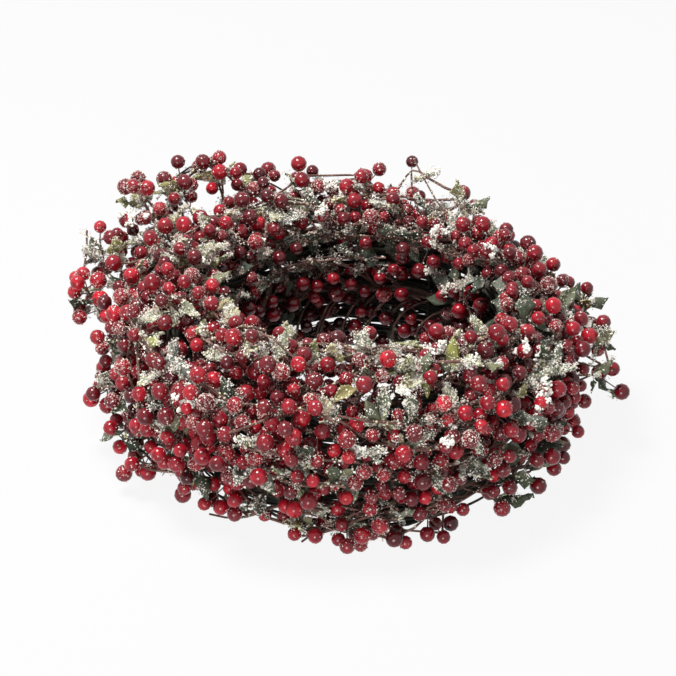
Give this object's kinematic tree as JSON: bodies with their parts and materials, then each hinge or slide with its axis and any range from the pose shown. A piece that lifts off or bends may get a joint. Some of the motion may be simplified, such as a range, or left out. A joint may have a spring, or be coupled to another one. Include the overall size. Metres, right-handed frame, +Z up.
{
  "type": "candle ring",
  "caption": "Candle ring: a bound twig hoop ring covered in frosted red berries on wires, sprigs and small leaves, open in the middle for a pillar candle.",
  "frame": {"origin": "on the table, in the middle of the candle opening", "axes": "+Z up, +X to the right and +Y away from the viewer in the picture"},
  "size_m": [0.3079, 0.2702, 0.1191],
  "materials": {
    "hoop_bark": "dark vine bark",
    "stem_bark": "reddish brown taped twig",
    "florist_wire": "dark lacquered florist wire",
    "berry_lacquer": "glossy red lacquer with clear frost grains",
    "leaf_cloth": "stiffened cloth leaf with white frost",
    "frost_grains": "clear to white glued frost grains"
  },
  "bodies": {
    "root": {"base_hoop": "hoop_bark", "twig_hoop_01": "hoop_bark", "twig_hoop_02": "hoop_bark", "twig_hoop_03": "hoop_bark", "twig_hoop_04": "hoop_bark", "twig_hoop_05": "hoop_bark", "twig_hoop_06": "hoop_bark", "twig_hoop_07": "hoop_bark", "twig_hoop_08": "hoop_bark", "twig_hoop_09": "hoop_bark", "twig_hoop_10": "hoop_bark", "twig_hoop_11": "hoop_bark", "twig_hoop_12": "hoop_bark", "twig_hoop_13": "hoop_bark", "binding_wires": "florist_wire", "stem_ties": "florist_wire", "spray_01_stem": "stem_bark", "spray_01_sprigs": "stem_bark", "spray_01_berries": "berry_lacquer", "spray_01_leaves": "leaf_cloth", "spray_02_stem": "stem_bark", "spray_02_sprigs": "stem_bark", "spray_02_berries": "berry_lacquer", "spray_02_leaves": "leaf_cloth", "spray_03_stem": "stem_bark", "spray_03_sprigs": "stem_bark", "spray_03_berries": "berry_lacquer", "spray_03_leaves": "leaf_cloth", "spray_04_stem": "stem_bark", "spray_04_sprigs": "stem_bark", "spray_04_berries": "berry_lacquer", "spray_04_leaves": "leaf_cloth", "spray_05_stem": "stem_bark", "spray_05_sprigs": "stem_bark", "spray_05_berries": "berry_lacquer", "spray_05_leaves": "leaf_cloth", "spray_06_stem": "stem_bark", "spray_06_sprigs": "stem_bark", "spray_06_berries": "berry_lacquer", "spray_06_leaves": "leaf_cloth", "spray_07_stem": "stem_bark", "spray_07_sprigs": "stem_bark", "spray_07_berries": "berry_lacquer", "spray_07_leaves": "leaf_cloth", "spray_08_stem": "stem_bark", "spray_08_sprigs": "stem_bark", "spray_08_berries": "berry_lacquer", "spray_08_leaves": "leaf_cloth", "spray_09_stem": "stem_bark", "spray_09_sprigs": "stem_bark", "spray_09_berries": "berry_lacquer", "spray_09_leaves": "leaf_cloth", "spray_10_stem": "stem_bark", "spray_10_sprigs": "stem_bark", "spray_10_berries": "berry_lacquer", "spray_10_leaves": "leaf_cloth"}
  },
  "joints": []
}
